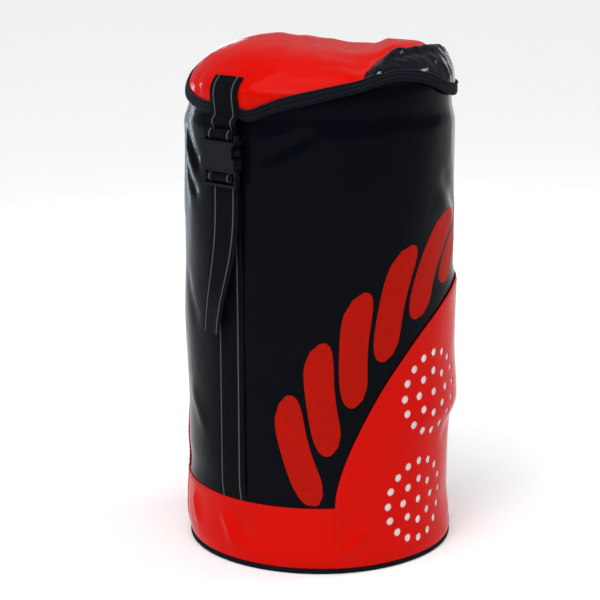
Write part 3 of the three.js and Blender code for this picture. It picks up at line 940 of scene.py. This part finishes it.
def make_lid_strap():
    def surface(z):
        """The place on the lid's front at a height, a little above the cloth."""
        rho = 120.0
        for _ in range(30):
            rho += on_lid(0.001, -rho, 0).z - z
        return on_lid(0.001, -rho, -3.4)

    path = [surface(z) for z in (494, 488, 482, 476, 470, 464, 459)]
    path += [Vector((0, STRAP_Y - 1.4, 454)), Vector((0, STRAP_Y, PIVOT_Z)), Vector((0, -141.2, 447))]

    def drape(point, offset):
        """The strap bows round the lid's front where it is sewn."""
        on = smooth((point.z - 458) / 14)
        return Vector((point.x, point.y + on * offset * offset / (2 * BODY_R), point.z))

    strap = ribbon("lid_strap_webbing", path, SIDEWAYS, WEBBING, lay=drape)
    finish(strap, STRAP_LOOK, "lid_strap", body="lid")
    loop = [(STRAP_Y, 449.4), (-140.9, 444.2), (-140.7, 439.6), (-142.3, 437.9), (-146.6, 437.9),
            (-148.3, 439.2), (-148.2, 443.0), (-145.4, 446.2)]
    turned = ribbon("strap_loop_webbing", upright(0, loop), SIDEWAYS, WEBBING, 1.6, step=1.5)
    finish(turned, STRAP_LOOK, "lid_strap_loop", body="lid_buckle")


TAIL_TOP, TAIL_END = 380, 243


def make_closure():
    front = -BODY_R - 2.4
    sewn = [(-133.0, 58), (-133.4, 66), (-134.0, 71), (-135.0, 77), (front + 0.3, 86), (front, 110),
            (front, 190), (front, 260), (front - 0.3, 330)]
    riser = [(-137.5, 376), (-138.4, 388), (-138.5, 401.4), (-139.8, 403.3), (-144, 403.7), (-147.7, 403.3),
             (-148.8, 401.9), (-148.8, 398.4), (-147.5, 397.1), (-143, 396.5), (-141.2, 395.4)]
    tail = [(-140.5, 392.5), (-140.6, 380), (-140.8, 356), (-140.9, 335), (-140.9, 300), (-140.9, 262),
            (-141.2, TAIL_END)]

    def drift(point, offset):
        """The sewn strap bows round the bag. Its free tail leans to the left and turns a little."""
        if point.y > -139.3 or point.z > TAIL_TOP:
            bow = offset * offset / (2 * BODY_R) * smooth((340 - point.z) / 40) if point.y > -138.2 else 0.0
            return Vector((point.x, point.y + bow, point.z))
        share = smooth((TAIL_TOP - point.z) / (TAIL_TOP - TAIL_END)) ** 1.5
        turn = radians(20) * share
        x = offset * cos(turn) - 15 * share
        return Vector((x, point.y - 5 * share - offset * sin(turn), point.z))

    strap = ribbon("closure_strap", upright(0, sewn + riser + tail), SIDEWAYS, WEBBING, lay=drift, slant=-2)
    finish(strap, STRAP_LOOK, "closure_webbing")


# ---- the back ----


def tangent_at(az):
    return Vector((cos(radians(az)), sin(radians(az)), 0))


FILL_PRESSURE, FILL_FRAMES = 4.0, 20
PAD_VOXEL = 3.0
CHANNEL = 2.2  # half width of a sewn channel


def applied(piece):
    """A mesh with the piece's modifiers in it. The piece loses them."""
    graph = bpy.context.evaluated_depsgraph_get()
    mesh = bpy.data.meshes.new_from_object(piece.evaluated_get(graph))
    piece.modifiers.clear()
    return mesh


def puffed(piece, held, cap):
    """Fills a flat sewn form by cloth simulation. held(point) says, from 0 to 1, how firmly a point is sewn
    down, and no point moves further than cap."""
    remesh = piece.modifiers.new("even mesh", "REMESH")
    remesh.mode, remesh.voxel_size = "VOXEL", PAD_VOXEL * MM
    piece.data = mesh = applied(piece)
    start = np.array([v.co for v in mesh.vertices])
    group = piece.vertex_groups.new(name="sewn")
    for vertex in mesh.vertices:
        group.add([vertex.index], held(vertex.co / MM), "REPLACE")
    cloth = piece.modifiers.new("filling", "CLOTH").settings
    cloth.vertex_group_mass = "sewn"
    cloth.use_pressure = True
    cloth.uniform_pressure_force = FILL_PRESSURE
    cloth.effector_weights.gravity = 0
    cloth.quality = 5
    for number in range(1, FILL_FRAMES + 1):
        bpy.context.scene.frame_set(number)
    filled = applied(piece)
    piece.vertex_groups.clear()
    bpy.context.scene.frame_set(1)
    moved = np.array([v.co for v in filled.vertices]) - start
    far = np.linalg.norm(moved, axis=1, keepdims=True)
    moved *= np.minimum(1, cap * MM / np.maximum(far, 1e-9))
    filled.vertices.foreach_set("co", (start + moved).ravel())
    piece.data = filled
    piece.data.shade_smooth()


def sew_channels(piece, depth, lines):
    """Presses sewn lines into a filled form. lines(point) is the distance to the nearest line."""
    for vertex in piece.data.vertices:
        point = vertex.co / MM
        gap = lines(point)
        if gap < 3 * CHANNEL:
            vertex.co -= vertex.normal * MM * depth * exp(-((gap / CHANNEL) ** 2))
    piece.data.update()


def finish_pad(pad, node):
    smoother = pad.modifiers.new("smooth", "SUBSURF")
    smoother.levels = smoother.render_levels = 1
    finish(pad, PAD_LOOK, node)


PAD_HALF, PAD_Z, PAD_CORNER = 58.0, (79.0, 398.0), 14
PAD_SEAMS = (-19.5, 19.5)


def pad_place(u, v, depth):
    return radial(180 - u / ARC, 138.1 - depth, v)


def rounded(half, low, high, corner):
    out = []
    for cx, cz, start in ((half - corner, low + corner, -90), (half - corner, high - corner, 0),
                          (corner - half, high - corner, 90), (corner - half, low + corner, 180)):
        for i in range(7):
            turn = radians(start + 15 * i)
            out.append((cx + corner * cos(turn), cz + corner * sin(turn)))
    return out


def make_back_pad():
    outline = rounded(PAD_HALF, *PAD_Z, PAD_CORNER)
    pad = sheet("back_cushion", outline, pad_place, 3.2, step=6)

    def edge_gap(point):
        """How far a point lies inside the pad's outline, and how far from its middle line."""
        u = (180 - degrees(atan2(point.x, -point.y)) % 360) * ARC
        return min(PAD_HALF - abs(u), point.z - PAD_Z[0], PAD_Z[1] - point.z), u

    def held(point):
        gap, u = edge_gap(point)
        inner = hypot(point.x, point.y) < 136.2
        seam = min(abs(u - s) for s in PAD_SEAMS)
        return 1.0 if inner or gap < 3.5 or seam < 2 else 0.0

    def channel(point):
        gap, u = edge_gap(point)
        return min([abs(u - s) for s in PAD_SEAMS] + [abs(gap - 5)])

    puffed(pad, held, 2.0)
    sew_channels(pad, 1.3, channel)
    finish_pad(pad, "back_pad")
    rim = [pad_place(u, v, 1.6) for u, v in evenly(outline, 4, closed=True)]
    welt = tube_along("back_pad_piping", rim, 1.9, closed=True)
    finish(welt, TAPE_LOOK)


def tube_along(name, path, radius, closed=False, sides=8):
    points = []
    count = len(path)
    for i, here in enumerate(path):
        before = path[i - 1] if i or closed else here
        after = path[(i + 1) % count] if i < count - 1 or closed else here
        tangent = (after - before).normalized()
        first = tangent.cross(Vector((here.x, here.y, 0))).normalized()
        second = first.cross(tangent)
        for k in range(sides):
            turn = 2 * pi * k / sides
            points.append(here + (first * cos(turn) + second * sin(turn)) * radius)
    faces = quads(count, sides, closed)
    if not closed:
        faces += [tuple(range(sides))[::-1], tuple((count - 1) * sides + k for k in range(sides))]
    uvs = [(2 * k * MM, i * 4 * MM) for i in range(count) for k in range(sides)]
    return new_object(name, points, faces, uvs)


def make_carry_straps():
    pad_line = ((141.6, 391), (143.4, 380), (146.2, 368), (150.6, 354), (153.2, 340), (153.6, 320),
                (153.6, 262), (153.0, 244), (149.6, 229), (146.6, 218), (145.2, 209))
    end = ((143.0, 226), (142.2, 214), (142.9, 206.4), (144.4, 204.1), (145.9, 206.4), (147.4, 214),
           (149.6, 223))
    lower = ((137.2, 70), (139.0, 76), (140.6, 84), (140.7, 120), (140.7, 172), (141.2, 184), (143.6, 191),
             (146.6, 192.6), (147.8, 189), (147.2, 180), (147.0, 160), (147.6, 138), (148.6, 118))

    def girth(share):
        """The pad's width and thickness, less at its two ends."""
        full = smooth(min(share, 1 - share) * 9)
        return 26 + 11 * full, 3.6 + 2.4 * full

    for label, az in (("left", 180 + CARRY_AZ), ("right", 180 - CARRY_AZ)):
        side = tangent_at(az)

        def strap(name, line, **shape):
            return ribbon(name, [radial(az, r, z) for r, z in line], side, NARROW, THIN, **shape)

        pad = strap(f"shoulder_cushion_{label}", pad_line, cuts=10, size=girth)

        def held(point):
            off = abs(point.dot(side))
            return 1.0 if off > 15.5 or point.z > 380 or point.z < 216 else 0.0

        puffed(pad, held, 1.6)
        sew_channels(pad, 0.7, lambda p: abs(abs(p.dot(side)) - 14.5))
        finish_pad(pad, f"shoulder_pad_{label}")
        finish(strap(f"pad_end_loop_{label}", end, step=2), PLAIN_STRAP)
        finish(strap(f"lower_strap_{label}", lower), PLAIN_STRAP, f"lower_webbing_{label}")
    yoke = [radial(180 + a, 140.9, 389) for a in np.linspace(-21.5, 21.5, 12)]
    finish(ribbon("yoke_webbing", yoke, Vector((0, 0, 1)), 18, 1.6), PLAIN_STRAP, "strap_yoke")


def make_haul_handle():
    half = [(-HANDLE_HALF, 439.4), (-HANDLE_HALF, 431), (-36.8, 423), (-35, 416.5), (-30, 413),
            (-22, HANDLE_LOW), (-10, HANDLE_LOW)]
    path = [Vector((x, HANDLE_Y, z)) for x, z in half + [(-x, z) for x, z in half[::-1]]]

    def girth(share):
        """The handle is flat webbing at its ends and narrow and thick inside its grip."""
        grip = smooth((0.5 - abs(share - 0.5)) * 8 - 1.1)
        return HANDLE_WIDTH - 9 * grip, 2.6 + 4.2 * grip

    handle = ribbon("haul_strap", path, None, HANDLE_WIDTH, step=2, size=girth, cuts=10)
    finish(handle, PLAIN_STRAP, "haul_handle", body="haul_handle")
    rings, sides = 40, 16
    line = [Vector((x, HANDLE_Y, HANDLE_LOW)) for x in spread(-24, 24, rings)]
    sleeve = tube_along("haul_grip", line, 4.9, sides=sides)
    for k, vertex in enumerate(sleeve.data.vertices):
        ring = k // sides
        groove = 1 - 0.07 * (0.5 - 0.5 * cos(2 * pi * ring / 4))
        ends = 0.88 if ring in (0, rings) else 1.0
        vertex.co.y = HANDLE_Y * MM + (vertex.co.y - HANDLE_Y * MM) * groove * ends
        vertex.co.z = HANDLE_LOW * MM + (vertex.co.z - HANDLE_LOW * MM) * groove * ends
    finish(sleeve, PLASTIC, body="haul_handle")
    fold = ((133.1, 460), (133.4, 452), (134.4, 446), (136.2, 443.9), (138.4, 444.2), (139.0, 447),
            (136.6, 452), (135.0, 459))
    for label, x in (("left", -HANDLE_HALF), ("right", HANDLE_HALF)):
        tab = ribbon(f"haul_tab_{label}", upright(x, fold), SIDEWAYS, HANDLE_WIDTH, 1.2, step=1.5)
        finish(tab, PLAIN_STRAP, f"handle_tab_{label}")


def make_hinge():
    line = ((133.9, 449), (134.3, 455), (136.4, 461), (139.6, 466), (141.0, 471), (141.2, 478))
    r_of, z_of = zip(*line)

    def place(u, v, depth):
        return radial(180 - u / ARC, float(np.interp(v, z_of, r_of)) + 0.3 - depth, v)

    cloth = sheet("hinge_cloth", [(-66, 450), (66, 450), (66, 477), (-66, 477)], place, 0.8, step=3)
    finish(cloth, BLACK, "hinge_tape", body=None)
    for name, body, z in (("hinge_stitching_low", "bag_body", 452), ("hinge_stitching_top", "lid", 475)):
        stitch(name, [[(-63, z), (63, z)]], place, THREAD_DARK, body=body)
    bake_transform(cloth)


def make_tie_loop():
    line = [(130.6, 56), (129.4, 51), (122, 50), (114, 44), (111, 34), (114, 24), (122, 18), (129.4, 17),
            (130.6, 12)]
    loop = ribbon("rope_end_loop", upright(0, line), SIDEWAYS, 20, 1.6)
    finish(loop, PLAIN_STRAP, "rope_tie_loop")


# ---- hardware keeps its CAD shape, with rounded edges ----


def dress(node, look, width=0.0):
    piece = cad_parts[node]
    if width:
        bevel = piece.modifiers.new("soft edges", "BEVEL")
        bevel.width = width * MM
        bevel.segments = 3
        bevel.angle_limit = radians(28)
        bevel.harden_normals = True
    piece.data.materials.clear()
    piece.data.materials.append(look[0])


def make_hardware():
    for node in ("buckle_plug", "buckle_socket", "buckle_prong_left", "buckle_prong_right"):
        dress(node, PLASTIC, 0.7)
    for label in ("left", "right"):
        dress(f"ladder_lock_{label}", PLASTIC, 0.6)
    dress("base_disc", BLACK)


# ---- stage ----


def aimed(name, data, place, target):
    """Puts a camera or a light in the scene, looking at the target."""
    thing = bpy.data.objects.new(name, data)
    bpy.context.collection.objects.link(thing)
    thing.location = place
    thing.rotation_mode = "QUATERNION"
    thing.rotation_quaternion = (Vector(target) - Vector(place)).to_track_quat("-Z", "Y")
    return thing


def make_camera():
    azimuth, elevation, distance = radians(41), radians(14.7), 2.031
    target = Vector((0, 0, 0.228))
    flat = cos(elevation)
    back = Vector((sin(azimuth) * flat, -cos(azimuth) * flat, sin(elevation)))
    camera = aimed("camera", bpy.data.cameras.new("camera"), target + back * distance, target)
    camera.data.lens = 117.2
    camera.data.sensor_width = 36.0
    camera.data.shift_x = -0.0333
    camera.data.shift_y = 0.035
    bpy.context.scene.camera = camera


def softbox(name, place, target, width, height, power, tint=(1, 1, 1)):
    light = bpy.data.lights.new(name, "AREA")
    light.shape = "RECTANGLE"
    light.size, light.size_y = width, height
    light.energy = power
    light.color = tint
    aimed(name, light, place, target).visible_camera = False


def make_stage():
    mesh = bpy.data.meshes.new("floor")
    far = 14
    mesh.from_pydata([(-far, -far, 0), (far, -far, 0), (far, far, 0), (-far, far, 0)], [], [(0, 1, 2, 3)])
    floor = bpy.data.objects.new("floor", mesh)
    bpy.context.collection.objects.link(floor)
    look = Look("floor")
    grain = look.noise(look.object_place(), 30.0, 4.0)
    pale = look.mix(grain, (0.955, 0.955, 0.955, 1), (0.985, 0.985, 0.985, 1))
    look.set(Base_Color=pale, Roughness=0.9, Specular_IOR_Level=0.1)
    mesh.materials.append(look.material)
    sun = bpy.data.lights.new("sky", "SUN")
    sun.energy = 2.3
    sun.angle = radians(60)
    aimed("sky", sun, (0.5, -1.25, 3), (0, 0, 0.2))
    softbox("left_strip", (-1.75, 0.31, 0.34), (0, 0, 0.28), 0.12, 0.62, 3.4, (0.62, 0.81, 1.0))
    softbox("left_rear_strip", (-1.3, 1.1, 0.3), (0, 0, 0.2), 0.12, 0.5, 2.0, (0.72, 0.86, 1.0))
    softbox("left_fill", (-1.2, -1.6, 1.3), (0, 0, 0.3), 0.25, 0.7, 1.5, (0.88, 0.94, 1.0))
    softbox("front_box", (0.6, -2.2, 1.9), (0, 0, 0.3), 1.0, 0.8, 14)
    softbox("right_strip", (-0.5, 1.84, 0.45), (0, 0, 0.25), 0.10, 0.8, 0.7)
    softbox("rear_strip", (0.75, 1.45, 1.6), (0.05, 0, 0.45), 0.3, 0.06, 4.5)
    softbox("high_strip", (0.82, 0.87, 2.02), (0.09, 0, 0.5), 0.5, 0.06, 6.5)
    softbox("top_box", (-0.3, 0.3, 2.2), (0, 0, 0.45), 0.9, 0.9, 1.5)
    world = bpy.data.worlds.new("studio")
    world.use_nodes = True
    background = world.node_tree.nodes["Background"]
    background.inputs["Color"].default_value = (0.97, 0.98, 1.0, 1)
    background.inputs["Strength"].default_value = 0.26
    bpy.context.scene.world = world
    bpy.context.scene.view_settings.view_transform = "Standard"


make_camera()
make_stage()
make_body()
make_base_and_rim()
rope_twist()
make_lid()
make_lid_strap()
make_closure()
make_back_pad()
make_carry_straps()
make_haul_handle()
make_hinge()
make_tie_loop()
make_hardware()
